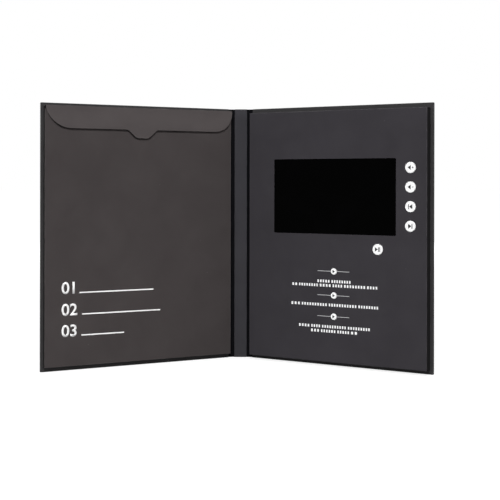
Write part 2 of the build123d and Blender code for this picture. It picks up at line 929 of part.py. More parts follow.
with BuildPart() as pocket_front:
    with BuildSketch(front_leaf.offset(pocket_front_back)):
        patch(FRONT, pocket_left, pocket_right, pocket_bottom, pocket_top - mouth_drop)
    extrude(amount=pocket_front_card)
    fillet(pocket_front.faces().sort_by(front_normal)[-1].edges(), pocket_front_card / 2)
keep(pocket_front, "pocket_front_panel")

gussets = {
    "pocket_inner_gusset": (pocket_left, pocket_left + pocket_card, pocket_bottom, gusset_top),
    "pocket_outer_gusset": (pocket_right - pocket_card, pocket_right, pocket_bottom, gusset_top),
    "pocket_tail_gusset": (
        pocket_left + pocket_card,
        pocket_right - pocket_card,
        pocket_bottom,
        pocket_bottom + pocket_card,
    ),
}
for node, outline in gussets.items():
    with BuildPart() as gusset:
        with BuildSketch(front_leaf.offset(pocket_card)):
            patch(FRONT, *outline)
        extrude(amount=pocket_front_back - pocket_card)
    keep(gusset, node)

# ---- Flap: a strip over the pocket's mouth, then the flap with its tab ----
fold_radius = flap_card / 2 - fold_clearance
strip_front = flap_fold_height - flap_card / 2 - fold_clearance
strip_back = strip_fold_height - flap_card / 2
with BuildPart() as flap_strip:
    with BuildSketch(front_plan.offset(pocket_top - flap_card)):
        patch(FRONT, pocket_left, pocket_right, -strip_front, -strip_back)
    extrude(amount=flap_card)
    back_edges = flap_strip.faces().sort_by(front_normal)[0].edges().filter_by(front_along)
    fillet(back_edges, fold_radius)
keep(flap_strip, "flap_strip")

tab_near = tab_centre - tab_root_width / 2
tab_far = tab_centre + tab_root_width / 2
above_fold = pocket_top + flap_outer_radius  # the outer curve is wider than the flap is long
with BuildPart() as pocket_flap:
    with BuildSketch(front_leaf.offset(flap_fold_height - flap_card / 2)) as outline:
        Polygon(
            (FRONT * flap_gap, above_fold),
            (FRONT * pocket_right, above_fold),
            (FRONT * pocket_right, flap_bottom),
            (FRONT * tab_far, flap_bottom),
            (FRONT * (tab_centre + tab_tip_width / 2), flap_bottom - tab_length),
            (FRONT * (tab_centre - tab_tip_width / 2), flap_bottom - tab_length),
            (FRONT * tab_near, flap_bottom),
            (FRONT * flap_gap, flap_bottom),
            align=None,
        )
        for corner_u, corner_v, radius in (
            (tab_far, flap_bottom, tab_root_radius),
            (tab_near, flap_bottom, tab_root_radius),
            (tab_centre + tab_tip_width / 2, flap_bottom - tab_length, tab_tip_radius),
            (tab_centre - tab_tip_width / 2, flap_bottom - tab_length, tab_tip_radius),
            (pocket_right, flap_bottom, flap_outer_radius),
            (flap_gap, flap_bottom, flap_inner_radius),
        ):
            corner = Vector(FRONT * corner_u, corner_v)
            fillet(outline.vertices().sort_by_distance(corner)[0], radius)
        with Locations((FRONT * pocket_right / 2, (pocket_top + above_fold) / 2)):
            Rectangle(pocket_right, above_fold - pocket_top, mode=Mode.SUBTRACT)
    extrude(amount=flap_card)
    top_edges = pocket_flap.faces().sort_by(Axis.Z)[-1].edges().filter_by(front_along)
    fillet(top_edges, fold_radius)
keep(pocket_flap, "pocket_flap")
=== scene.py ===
import json
from math import atan2, pi, radians, tan

import bmesh
import bpy
from mathutils import Matrix, Vector

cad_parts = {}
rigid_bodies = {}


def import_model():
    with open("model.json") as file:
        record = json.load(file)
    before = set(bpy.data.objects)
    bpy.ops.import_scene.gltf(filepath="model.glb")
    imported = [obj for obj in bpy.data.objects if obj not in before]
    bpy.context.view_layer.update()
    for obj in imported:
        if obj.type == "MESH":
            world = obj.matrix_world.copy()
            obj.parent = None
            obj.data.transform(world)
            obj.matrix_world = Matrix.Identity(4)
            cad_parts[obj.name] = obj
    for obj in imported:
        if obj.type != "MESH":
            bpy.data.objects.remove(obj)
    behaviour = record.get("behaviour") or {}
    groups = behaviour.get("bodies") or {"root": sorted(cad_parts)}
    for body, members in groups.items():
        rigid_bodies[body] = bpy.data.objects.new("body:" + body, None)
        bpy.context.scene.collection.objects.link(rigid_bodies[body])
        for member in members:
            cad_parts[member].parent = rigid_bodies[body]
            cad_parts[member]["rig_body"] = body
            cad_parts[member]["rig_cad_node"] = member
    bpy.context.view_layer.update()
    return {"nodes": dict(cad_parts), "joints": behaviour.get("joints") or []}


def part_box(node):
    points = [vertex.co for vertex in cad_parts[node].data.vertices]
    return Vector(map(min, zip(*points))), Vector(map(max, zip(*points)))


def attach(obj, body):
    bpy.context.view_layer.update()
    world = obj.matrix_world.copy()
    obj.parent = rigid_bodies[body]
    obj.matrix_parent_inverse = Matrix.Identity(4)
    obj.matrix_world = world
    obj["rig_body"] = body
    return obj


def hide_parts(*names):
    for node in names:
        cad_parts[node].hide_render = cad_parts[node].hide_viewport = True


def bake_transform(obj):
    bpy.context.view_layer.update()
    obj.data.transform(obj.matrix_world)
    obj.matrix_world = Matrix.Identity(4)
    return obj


# A hard-cover video brochure standing open, dressed around its CAD frame. Metres, +Z up.
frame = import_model()

nodes = frame["nodes"]
joints = {joint["name"]: joint for joint in frame["joints"]}
button_nodes = [joint["child"] for joint in frame["joints"] if joint["type"] == "slide"]

# ---- Sizes of the skin over the frame ----
touching = 1e-6  # points nearer than this count as one
edge_round = 0.0005  # rounding of the wrapped boards
seam_width = 0.00018  # mitre at a cover's corners
seam_depth = 0.00012
liner_step = 0.00008  # the spine's liner stands this far proud
liner_edge = 0.0001
block_round = 0.0006
face_card_thickness = 0.0008
skirt_thickness = 0.0006  # of the face card, where it is folded over the block's sides
window_overlap = 0.004  # the face card covers this much of the screen's lens
window_corner = 0.0012
hole_gap = 0.0003  # between a button or the socket and its hole
hole_depth = 0.003
mouth_reach = 0.002  # the socket's mouth is cut this far past the socket
button_round = 0.00022
button_flange_lip = 0.0008
button_flange_thickness = 0.00065
ink = 0.00001  # a print stands this far off the card
web_bend = 0.003  # radius of the joints' paper
web_notch = 0.0001  # the joints' paper is this much lower than the boards' heads
flap_bow = 0.0012
flap_edge_round = 0.00012
crease_radius = 0.0002
crease_end_round = crease_radius / 3


# ---- The panels' flat layouts: x along the panel from its hinge, z up, readers at -y ----
def laid_box(node, layout):
    """A node's lowest and highest corners in a panel's flat layout."""
    to_layout = layout.inverted()
    points = [to_layout @ vertex.co for vertex in nodes[node].data.vertices]
    low = Vector([min(point[axis] for point in points) for axis in range(3)])
    high = Vector([max(point[axis] for point in points) for axis in range(3)])
    return low, high


def cover_layout(hinge, turn, rests_on_cover):
    """Layout of a cover, with the cover's inner face at y = 0 under the node that rests on it."""
    at_hinge = Matrix.Translation(hinge) @ turn
    inner_face = laid_box(rests_on_cover, at_hinge)[1].y
    return at_hinge @ Matrix.Translation((0, inner_face, 0))


press = Vector(joints["play_pause_press"]["axis"])
cover_angle = atan2(press.x, press.y)
back_hinge = Vector(joints["spine_hinge"]["pos_m"])
front_hinge = Vector(joints["front_cover_hinge"]["pos_m"])
back_turn = Matrix.Rotation(-cover_angle, 4, "Z")
front_turn = Matrix.Rotation(cover_angle, 4, "Z")
back_layout = cover_layout(back_hinge, back_turn, "block_base")
front_layout = cover_layout(front_hinge, front_turn, "pocket_back_panel")
spine_layout = Matrix.Translation((0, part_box("spine_liner")[0].y, 0))
wrap_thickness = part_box("back_cover_board")[0].z


# ---- Modelling: choosing, adding and copying pieces ----
def choose_nothing():
    bpy.ops.object.select_all(action="DESELECT")


def choose(piece):
    choose_nothing()
    piece.select_set(True)
    bpy.context.view_layer.objects.active = piece


def settle():
    """Put the chosen piece's place, turn and size in its mesh."""
    bpy.ops.object.transform_apply(location=True, rotation=True, scale=True)


def keep_place(name):
    """Name the new piece and settle it."""
    settle()
    piece = bpy.context.object
    piece.name = piece.data.name = name
    return piece


def add_box(name, low, high):
    """A box from its lowest to its highest corner."""
    choose_nothing()
    bpy.ops.mesh.primitive_cube_add(size=1, location=(low + high) / 2, scale=high - low)
    return keep_place(name)


def add_rod(name, place, radius, length, turn, sides=64):
    """A cylinder with its middle at place."""
    choose_nothing()
    bpy.ops.mesh.primitive_cylinder_add(
        vertices=sides, radius=radius, depth=length, location=place, rotation=turn
    )
    return keep_place(name)


along_sight = (pi / 2, 0, 0)  # turns an upright piece's axis to the reader's line of sight
along_panel = (0, pi / 2, 0)  # turns it to run across the panel


def copy_of(piece, name):
    choose(piece)
    bpy.ops.object.duplicate(linked=False)
    copied = bpy.context.object
    copied.name = copied.data.name = name
    return copied


def joined(pieces, name):
    choose_nothing()
    for piece in pieces:
        piece.select_set(True)
    bpy.context.view_layer.objects.active = pieces[0]
    bpy.ops.object.join()
    whole = bpy.context.object
    whole.name = whole.data.name = name
    return whole


def mirror_over(piece):
    """Bring a piece from the back cover's side to the front cover's."""
    choose(piece)
    bpy.ops.transform.mirror(constraint_axis=(True, False, False), center_override=(0, 0, 0))
    settle()


def swing(piece, layout):
    """Take a piece from its flat layout to its place."""
    piece.matrix_world = layout
    choose(piece)
    settle()


# ---- Modelling: shaping in edit mode ----
def edit(piece):
    choose(piece)
    bpy.ops.object.mode_set(mode="EDIT")
    bpy.ops.mesh.select_all(action="DESELECT")


def close():
    bpy.ops.object.mode_set(mode="OBJECT")


def pick(kind, wanted):
    """Select only the vertices, edges or faces that are wanted."""
    piece = bpy.context.object
    bpy.ops.mesh.select_mode(type=kind)
    bpy.ops.mesh.select_all(action="DESELECT")
    mesh = bmesh.from_edit_mesh(piece.data)
    elements = {"VERT": mesh.verts, "EDGE": mesh.edges, "FACE": mesh.faces}[kind]
    for element in elements:
        if wanted(element):
            element.select_set(True)
    mesh.select_flush_mode()
    bmesh.update_edit_mesh(piece.data)


def pick_all():
    bpy.ops.mesh.select_all(action="SELECT")


def round_off(width, segments):
    bpy.ops.mesh.bevel(offset=width, segments=segments, affect="EDGES")


def extrude(move=(0, 0, 0)):
    bpy.ops.mesh.extrude_region_move(TRANSFORM_OT_translate={"value": move})


def slice_at(place, normal):
    """Cut a line of edges right through the mesh."""
    pick_all()
    bpy.ops.mesh.bisect(plane_co=place, plane_no=normal)


def face_outwards():
    pick_all()
    bpy.ops.mesh.normals_make_consistent(inside=False)


def span(edge, axis):
    """How far an edge reaches along x, y or z."""
    first, second = edge.verts
    return abs(getattr(first.co, axis) - getattr(second.co, axis))


def at_front(edge, front):
    """True for an edge that lies in the foremost plane."""
    return all(vertex.co.y < front + touching for vertex in edge.verts)


def faces_reader(face):
    return face.normal.y < -0.99


# ---- Modelling: finishing ----
def apply_modifiers(piece):
    choose(piece)
    for modifier in list(piece.modifiers):
        bpy.ops.object.modifier_apply(modifier=modifier.name)


def smooth(piece, angle=35):
    """Smooth the rounded parts and keep the flat ones flat."""
    choose(piece)
    bpy.ops.object.shade_smooth_by_angle(angle=radians(angle))
    weighted = piece.modifiers.new("flat faces", "WEIGHTED_NORMAL")
    weighted.keep_sharp = True
    apply_modifiers(piece)


def cut(piece, cutter):
    """Take the cutter's shape out of the piece."""
    boolean = piece.modifiers.new("cut", "BOOLEAN")
    boolean.operation = "DIFFERENCE"
    boolean.solver = "EXACT"
    boolean.object = cutter
    apply_modifiers(piece)
    bpy.data.objects.remove(cutter)


def stands_for(piece, body, slot, *replaced):
    """What every finished piece tells the frame."""
    if body:
        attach(piece, body)
    if replaced:
        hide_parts(*replaced)


# ---- Shader nodes: each function adds one and gives its output ----
def feed(tree, socket, value):
    """Link a socket to another node's output, or set it to a number or a colour."""
    if isinstance(value, bpy.types.NodeSocket):
        tree.links.new(value, socket)
    elif isinstance(value, (int, float)):
        socket.default_value = value
    else:
        socket.default_value = (*value, 1)


def add_math(tree, operation, first, second):
    node = tree.nodes.new("ShaderNodeMath")
    node.operation = operation
    feed(tree, node.inputs[0], first)
    feed(tree, node.inputs[1], second)
    return node.outputs[0]


def add_vector_math(tree, operation, first, second):
    node = tree.nodes.new("ShaderNodeVectorMath")
    node.operation = operation
    tree.links.new(first, node.inputs[0])
    tree.links.new(second, node.inputs[1])
    return node.outputs["Vector"]


def add_noise(tree, vector, scale, detail=2.0, distortion=0.0):
    node = tree.nodes.new("ShaderNodeTexNoise")
    node.inputs["Detail"].default_value = detail
    node.inputs["Distortion"].default_value = distortion
    feed(tree, node.inputs["Scale"], scale)
    tree.links.new(vector, node.inputs["Vector"])
    return node.outputs["Fac"]


def add_range(tree, value, from_low, from_high, to_low=0.0, to_high=1.0):
    node = tree.nodes.new("ShaderNodeMapRange")
    feed(tree, node.inputs["Value"], value)
    feed(tree, node.inputs["From Min"], from_low)
    feed(tree, node.inputs["From Max"], from_high)
    feed(tree, node.inputs["To Min"], to_low)
    feed(tree, node.inputs["To Max"], to_high)
    return node.outputs["Result"]


def spread_noise(tree, noise):
    """A noise's usual values, stretched to run from 0 to 1."""
    return add_range(tree, noise, 0.3, 0.7)


def add_mix(tree, share, first, second):
    """Mix two colours, each a colour or a link."""
    node = tree.nodes.new("ShaderNodeMix")
    node.data_type = "RGBA"
    tree.links.new(share, node.inputs["Factor"])
    feed(tree, node.inputs[6], first)
    feed(tree, node.inputs[7], second)
    return node.outputs[2]


def object_place(tree):
    return tree.nodes.new("ShaderNodeTexCoord").outputs["Object"]


def seen_directly(tree):
    """1 for what the camera sees itself or in a gloss or through glass, else 0."""
    path = tree.nodes.new("ShaderNodeLightPath")
    either = add_math(
        tree, "MAXIMUM", path.outputs["Is Camera Ray"], path.outputs["Is Glossy Ray"]
    )
    return add_math(tree, "MAXIMUM", either, path.outputs["Is Transmission Ray"])


# ---- Camera: level, a little to the right of the spine ----
picture_size = 500
focal_pixels = 1012.745
middle_column = 264.27
horizon_row = 183.48
camera_place = (0.04241, -0.85701, 0.15419)
camera_turn = 1.373  # degrees, to the left of straight ahead
camera_roll = 0.109
sensor = 36
bpy.ops.object.camera_add(
    location=camera_place, rotation=(pi / 2, -radians(camera_roll), radians(camera_turn))
)
camera = bpy.context.object
camera.data.sensor_width = sensor
camera.data.lens = focal_pixels / picture_size * sensor
camera.data.shift_x = (picture_size / 2 - middle_column) / picture_size
camera.data.shift_y = (horizon_row - picture_size / 2) / picture_size
bpy.context.scene.camera = camera

# ---- Studio: white surroundings that give little light, a grey floor that looks white ----
bpy.context.scene.view_settings.view_transform = "Standard"
surround_light = 0.04
floor_size = 40
floor_colour = (0.3, 0.3, 0.3)
floor_roughness = 0.9
near_floor, far_floor = 0.5, 2.2  # distances from the object
near_floor_glow, far_floor_glow = 0.8, 1.0

world = bpy.data.worlds.new("studio")
world.use_nodes = True
bpy.context.scene.world = world
world_tree = world.node_tree
surround = world_tree.nodes["Background"]
surround.inputs["Color"].default_value = (1, 1, 1, 1)
world_strength = add_range(world_tree, seen_directly(world_tree), 0.0, 1.0, surround_light, 1.0)
world_tree.links.new(world_strength, surround.inputs["Strength"])

choose_nothing()
bpy.ops.mesh.primitive_plane_add(size=floor_size, location=(0, 0, 0))
floor = keep_place("floor")
floor_paint = bpy.data.materials.new("floor paint")
floor_paint.use_nodes = True
floor_tree = floor_paint.node_tree
floor_shader = floor_tree.nodes["Principled BSDF"]
floor_shader.inputs["Base Color"].default_value = (*floor_colour, 1)
floor_shader.inputs["Roughness"].default_value = floor_roughness
floor_shader.inputs["Specular IOR Level"].default_value = 0.0
floor_shader.inputs["Emission Color"].default_value = (1, 1, 1, 1)
floor_distance = floor_tree.nodes.new("ShaderNodeVectorMath")
floor_distance.operation = "LENGTH"
floor_tree.links.new(object_place(floor_tree), floor_distance.inputs[0])
floor_glow = add_range(
    floor_tree,
    floor_distance.outputs["Value"],
    near_floor,
    far_floor,
    near_floor_glow,
    far_floor_glow,
)
floor_strength = add_math(floor_tree, "MULTIPLY", floor_glow, seen_directly(floor_tree))
floor_tree.links.new(floor_strength, floor_shader.inputs["Emission Strength"])
floor.data.materials.append(floor_paint)

# ---- Lamps: a key lamp over the camera, a softbox at each side, one behind, a low strip ----
page_middle = (0, 0, 0.11)
cool_tint = (0.95, 0.97, 1.0)
warm_tint = (1.0, 0.97, 0.95)
strip_height = 0.014


def add_lamp(name, place, size, power, tint=(1, 1, 1), aim=page_middle):
    bpy.ops.object.light_add(type="AREA", location=place)
    lamp = bpy.context.object
    lamp.name = name
    lamp.data.shape = "SQUARE"
    lamp.data.size = size
    lamp.data.energy = power
    lamp.data.color = tint
    lamp.rotation_euler = (Vector(aim) - Vector(place)).to_track_quat("-Z", "Y").to_euler()
    return lamp


add_lamp("right_softbox", (1.45, -0.5, 0.62), size=0.6, power=5.2, tint=warm_tint)
add_lamp("left_softbox", (-1.45, -0.5, 0.62), size=0.6, power=5.2, tint=cool_tint)
add_lamp("key_lamp", (0.04, -1.05, 1.1), size=0.3, power=20)
add_lamp("back_lamp", (0.2, 1.6, 0.8), size=1.2, power=16)
foot_strip = add_lamp(
    "foot_strip",
    (-0.03, -0.17, strip_height),
    size=0.34,
    power=0.075,
    aim=(-0.03, 0, strip_height),
)
foot_strip.data.shape = "RECTANGLE"
foot_strip.data.size_y = 0.024
foot_strip.visible_camera = False


# ---- Finishes: effects that several materials share ----
def new_group(name, inputs, outputs):
    """An empty node group with named sockets, and the nodes at its two ends."""
    group = bpy.data.node_groups.new(name, "ShaderNodeTree")
    for label, kind, value in inputs:
        socket = group.interface.new_socket(label, in_out="INPUT", socket_type=kind)
        if value is not None:
            socket.default_value = value
    for label, kind in outputs:
        group.interface.new_socket(label, in_out="OUTPUT", socket_type=kind)
    return group, group.nodes.new("NodeGroupInput"), group.nodes.new("NodeGroupOutput")


def make_paper_fibre():
    """Fine tooth of coated card, and the slow cloudiness of its print."""
    group, start, end = new_group(
        "paper_fibre",
        [("Vector", "NodeSocketVector", None), ("Fibre Scale", "NodeSocketFloat", 1500.0)],
        [("Height", "NodeSocketFloat"), ("Cloud", "NodeSocketFloat")],
    )
    vector = start.outputs["Vector"]
    fibre = add_noise(group, vector, start.outputs["Fibre Scale"], detail=3.0)
    cloud = add_noise(group, vector, 38.0, detail=3.0, distortion=0.4)
    group.links.new(fibre, end.inputs["Height"])
    group.links.new(spread_noise(group, cloud), end.inputs["Cloud"])
    return group


def make_edge_rub():
    """Wear near the edges of a box: where two of its three distances are small."""
    group, start, end = new_group(
        "edge_rub",
        [
            ("Vector", "NodeSocketVector", None),
            ("Low", "NodeSocketVector", None),
            ("High", "NodeSocketVector", None),
            ("Width", "NodeSocketFloat", 0.0006),
        ],
        [("Rub", "NodeSocketFloat")],
    )
    vector = start.outputs["Vector"]
    from_low = add_vector_math(group, "SUBTRACT", vector, start.outputs["Low"])
    from_high = add_vector_math(group, "SUBTRACT", start.outputs["High"], vector)
    nearest = add_vector_math(group, "MINIMUM", from_low, from_high)
    split = group.nodes.new("ShaderNodeSeparateXYZ")
    group.links.new(nearest, split.inputs["Vector"])
    x, y, z = split.outputs
    least = add_math(group, "MINIMUM", x, y)
    most = add_math(group, "MAXIMUM", x, y)
    second = add_math(group, "MAXIMUM", least, add_math(group, "MINIMUM", most, z))
    close_by = add_range(group, second, 0.0, start.outputs["Width"], 1.0, 0.0)
    blotches = add_noise(group, vector, 90.0, detail=4.0, distortion=0.6)
    patches = add_range(group, blotches, 0.42, 0.72)
    group.links.new(add_math(group, "MULTIPLY", close_by, patches), end.inputs["Rub"])
    return group


def make_handling_marks():
    """Broad smudges left by hands, and a few fine specks of dust."""
    group, start, end = new_group(
        "handling_marks",
        [("Vector", "NodeSocketVector", None)],
        [("Smudge", "NodeSocketFloat"), ("Speck", "NodeSocketFloat")],
    )
    vector = start.outputs["Vector"]
    smudge = add_noise(group, vector, 22.0, detail=4.0, distortion=1.2)
    cells = group.nodes.new("ShaderNodeTexVoronoi")
    cells.inputs["Scale"].default_value = 160.0
    group.links.new(vector, cells.inputs["Vector"])
    dots = add_range(group, cells.outputs["Distance"], 0.02, 0.05, 1.0, 0.0)
    chosen = group.nodes.new("ShaderNodeSeparateColor")
    group.links.new(cells.outputs["Color"], chosen.inputs["Color"])
    few = add_range(group, chosen.outputs["Red"], 0.93, 0.95)
    group.links.new(add_range(group, smudge, 0.45, 0.75), end.inputs["Smudge"])
    group.links.new(add_math(group, "MULTIPLY", dots, few), end.inputs["Speck"])
    return group


paper_fibre = make_paper_fibre()
edge_rub = make_edge_rub()
handling_marks = make_handling_marks()


def place_group(tree, group, **links):
    """Add a shared effect, with its named inputs linked or set."""
    node = tree.nodes.new("ShaderNodeGroup")
    node.node_tree = group
    for label, source in links.items():
        socket = node.inputs[label.replace("_", " ")]
        if isinstance(source, bpy.types.NodeSocket):
            tree.links.new(source, socket)
        else:
            socket.default_value = source
    return node


# ---- Finishes: what each material is made of ----
def new_material(name, specular, roughness):
    material = bpy.data.materials.new(name)
    material.use_nodes = True
    tree = material.node_tree
    shader = tree.nodes["Principled BSDF"]
    shader.inputs["Specular IOR Level"].default_value = specular
    shader.inputs["Roughness"].default_value = roughness
    return material, tree, shader, object_place(tree)


def set_colour(tree, shader, colour):
    tree.links.new(colour, shader.inputs["Base Color"])


def set_roughness(tree, shader, share, low, high):
    """Roughness that is low where the share is 0 and high where it is 1."""
    tree.links.new(add_range(tree, share, 0.0, 1.0, low, high), shader.inputs["Roughness"])


def add_bump(tree, shader, height, distance, strength=1.0):
    bump = tree.nodes.new("ShaderNodeBump")
    bump.inputs["Distance"].default_value = distance
    bump.inputs["Strength"].default_value = strength
    tree.links.new(height, bump.inputs["Height"])
    tree.links.new(bump.outputs["Normal"], shader.inputs["Normal"])


def shaded(colour, share, lift=0.0):
    """A colour made darker or lighter by a share, and lifted a little."""
    return [part * share + lift for part in colour]


def coated_card(name, colour, layout, low, high, roughness=0.65, specular=0.05):
    """Soft-touch printed card on a panel, rubbed at the edges of the box from low to high."""
    material, tree, shader, place = new_material(name, specular, roughness)
    shader.inputs["Sheen Weight"].default_value = 0.02
    shader.inputs["Sheen Roughness"].default_value = 0.5
    to_panel = tree.nodes.new("ShaderNodeMapping")
    to_panel.vector_type = "TEXTURE"
    to_panel.inputs["Location"].default_value = layout.translation
    to_panel.inputs["Rotation"].default_value = layout.to_euler()
    tree.links.new(place, to_panel.inputs["Vector"])
    on_panel = to_panel.outputs["Vector"]
    fibre = place_group(tree, paper_fibre, Vector=on_panel)
    marks = place_group(tree, handling_marks, Vector=on_panel)
    worn = place_group(tree, edge_rub, Vector=on_panel, Low=low, High=high)
    pale = shaded(colour, 1.14, lift=0.001)
    rubbed = shaded(colour, 1.6, lift=0.03)
    dusty = shaded(colour, 1.0, lift=0.10)
    clouded = add_mix(tree, fibre.outputs["Cloud"], colour, pale)
    edged = add_mix(tree, worn.outputs["Rub"], clouded, rubbed)
    set_colour(tree, shader, add_mix(tree, marks.outputs["Speck"], edged, dusty))
    set_roughness(tree, shader, marks.outputs["Smudge"], roughness, roughness - 0.07)
    add_bump(tree, shader, fibre.outputs["Height"], distance=0.00003, strength=0.6)
    return material


def moulded_white():
    """Glossy white plastic with a faint moulding texture and light soiling."""
    material, tree, shader, place = new_material("button_plastic", specular=0.35, roughness=0.28)
    marks = place_group(tree, handling_marks, Vector=place)
    cloud = spread_noise(tree, add_noise(tree, place, 400.0))
    tinted = add_mix(tree, cloud, (0.95, 0.95, 0.955), (0.97, 0.97, 0.97))
    set_colour(tree, shader, add_mix(tree, marks.outputs["Speck"], tinted, (0.5, 0.5, 0.5)))
    set_roughness(tree, shader, marks.outputs["Smudge"], 0.26, 0.38)
    grain = add_noise(tree, place, 2500.0, detail=1.0)
    add_bump(tree, shader, grain, distance=0.000004, strength=0.5)
    return material


def printed_ink(name, colour):
    """Screen-printed ink with slightly uneven cover."""
    material, tree, shader, place = new_material(name, specular=0.3, roughness=0.45)
    uneven = spread_noise(tree, add_noise(tree, place, 1400.0))
    set_colour(tree, shader, add_mix(tree, uneven, shaded(colour, 0.93), colour))
    set_roughness(tree, shader, uneven, 0.55, 0.42)
    add_bump(tree, shader, uneven, distance=0.000003, strength=0.4)
    return material


def screen_front():
    """The screen's dark front, with fingerprints that only show in its gloss."""
    material, tree, shader, place = new_material("screen_front", specular=0.012, roughness=0.12)
    marks = place_group(tree, handling_marks, Vector=place)
    clean, touched = (0.0003, 0.0003, 0.0003), (0.0005, 0.0005, 0.0006)
    dark = add_mix(tree, marks.outputs["Smudge"], clean, touched)
    set_colour(tree, shader, add_mix(tree, marks.outputs["Speck"], dark, (0.004, 0.004, 0.004)))
    set_roughness(tree, shader, marks.outputs["Smudge"], 0.10, 0.24)
    return material


def board_stock(name, colour):
    """Raw board with long fibres."""
    material, tree, shader, place = new_material(name, specular=0.1, roughness=0.85)
    fibre = place_group(tree, paper_fibre, Vector=place, Fibre_Scale=700.0)
    height = fibre.outputs["Height"]
    set_colour(tree, shader, add_mix(tree, height, shaded(colour, 0.8), colour))
    set_roughness(tree, shader, fibre.outputs["Cloud"], 0.8, 0.92)
    add_bump(tree, shader, height, distance=0.00008)
    return material


def worked_metal(name, colour, smoothest, roughest, stretch=(40.0, 1500.0, 1500.0)):
    """Metal with fine brushed lines."""
    material, tree, shader, place = new_material(name, specular=0.5, roughness=smoothest)
    lengthen = tree.nodes.new("ShaderNodeMapping")
    lengthen.inputs["Scale"].default_value = stretch
    tree.links.new(place, lengthen.inputs["Vector"])
    lines = add_noise(tree, lengthen.outputs["Vector"], 1.0)
    shade = spread_noise(tree, lines)
    set_colour(tree, shader, add_mix(tree, shade, shaded(colour, 0.85), colour))
    set_roughness(tree, shader, shade, smoothest, roughest)
    shader.inputs["Metallic"].default_value = 1.0
    add_bump(tree, shader, lines, distance=0.000004, strength=0.4)
    return material


def moulded(name, colour, smoothest, roughest, grain=900.0, depth=0.00001):
    """Moulded or coated stock with a fine grain."""
    material, tree, shader, place = new_material(name, specular=0.4, roughness=smoothest)
    grains = add_noise(tree, place, grain)
    shade = spread_noise(tree, grains)
    set_colour(tree, shader, add_mix(tree, shade, shaded(colour, 0.82), colour))
    set_roughness(tree, shader, shade, smoothest, roughest)
    add_bump(tree, shader, grains, distance=depth)
    return material


def circuit_laminate():
    """Green solder mask with the faint lines of tracks under it."""
    material, tree, shader, place = new_material("circuit_laminate", specular=0.5, roughness=0.35)
    tracks = tree.nodes.new("ShaderNodeTexBrick")
    tracks.inputs["Scale"].default_value = 160.0
    tracks.inputs["Mortar Size"].default_value = 0.03
    tracks.inputs["Color1"].default_value = (0.025, 0.14, 0.06, 1)
    tracks.inputs["Color2"].default_value = (0.022, 0.12, 0.05, 1)
    tracks.inputs["Mortar"].default_value = (0.05, 0.24, 0.10, 1)
    tree.links.new(place, tracks.inputs["Vector"])
    set_colour(tree, shader, tracks.outputs["Color"])
    set_roughness(tree, shader, spread_noise(tree, add_noise(tree, place, 300.0)), 0.3, 0.45)
    add_bump(tree, shader, tracks.outputs["Fac"], distance=0.00002, strength=0.5)
    return material


def dress(piece, material):
    """Give a piece one material all over."""
    piece.data.materials.clear()
    piece.data.materials.append(material)


def dress_faces(piece, material, wanted):
    """Give some of a dressed piece's faces a material of their own."""
    piece.data.materials.append(material)
    edit(piece)
    pick("FACE", wanted)
    piece.active_material_index = len(piece.data.materials) - 1
    bpy.ops.object.material_slot_assign()
    close()


# ---- Cover cases: wrapped boards with mitred corners ----
mitre_slack = seam_width / 10  # an edge this near to the mitre's line is on it
face_slack = edge_round / 9  # and this near to the cover's inner face


def cover_case(name, wrap_node, board_node, liner_node, layout):
    """A wrapped board with rounded edges, a mitre at each fore corner and its hollow inside."""
    wrap_low, wrap_high = laid_box(wrap_node, layout)
    board_low = laid_box(board_node, layout)[0]
    liner_low = laid_box(liner_node, layout)[0]
    turn_in = liner_low.z - wrap_low.z
    low = Vector((board_low.x - wrap_thickness, wrap_low.y, wrap_low.z))
    case = add_box(name, low, wrap_high)
    edit(case)
    pick_all()
    round_off(edge_round, 3)
    pick("FACE", lambda face: faces_reader(face) and face.calc_area() > turn_in**2)
    bpy.ops.mesh.inset(thickness=turn_in - edge_round)

    def on_mitre(edge):
        across, up = span(edge, "x"), span(edge, "z")
        slanted = across > turn_in / 2 and abs(across - up) < edge_round
        middle = (edge.verts[0].co + edge.verts[1].co) / 2
        return slanted and middle.x > wrap_high.x / 2

    def on_mitre_line(edge):
        for vertex in edge.verts:
            from_fore = wrap_high.x - vertex.co.x
            from_end = min(vertex.co.z, wrap_high.z - vertex.co.z)
            on_line = abs(from_fore - from_end) < mitre_slack
            in_turn_in = edge_round < from_fore < turn_in
            if not (on_line and in_turn_in and vertex.co.y < face_slack):
                return False
        return True

    pick("EDGE", on_mitre)
    round_off(seam_width, 2)
    pick("EDGE", on_mitre_line)
    bpy.ops.transform.translate(value=(0, seam_depth, 0))
    close()
    return case, low, wrap_high


back_case, case_low, case_high = cover_case(
    "back_cover_case", "back_cover_wrap", "back_cover_board", "back_endpaper", back_layout
)
front_case = copy_of(back_case, "front_cover_case")
mirror_over(front_case)
edit(front_case)
face_outwards()
close()
mirror_low = Vector((-case_high.x, case_low.y, case_low.z))
mirror_high = Vector((-case_low.x, case_high.y, case_high.z))
for case, layout in ((back_case, back_layout), (front_case, front_layout)):
    smooth(case)
    swing(case, layout)

# ---- Spine case, with the end of its liner as a fine step ----
spine_box = laid_box("spine_wrap", spine_layout)
spine_board_box = laid_box("spine_board", spine_layout)
spine_low = Vector((spine_board_box[0].x - wrap_thickness, spine_box[0].y, spine_box[0].z))
spine_high = Vector((spine_board_box[1].x + wrap_thickness, spine_box[1].y, spine_box[1].z))
liner_low, liner_high = laid_box("spine_liner", spine_layout)


def on_spine_liner(face):
    middle = face.calc_center_median()
    within = liner_low.z < middle.z < liner_high.z and abs(middle.x) < spine_high.x - edge_round
    return faces_reader(face) and within


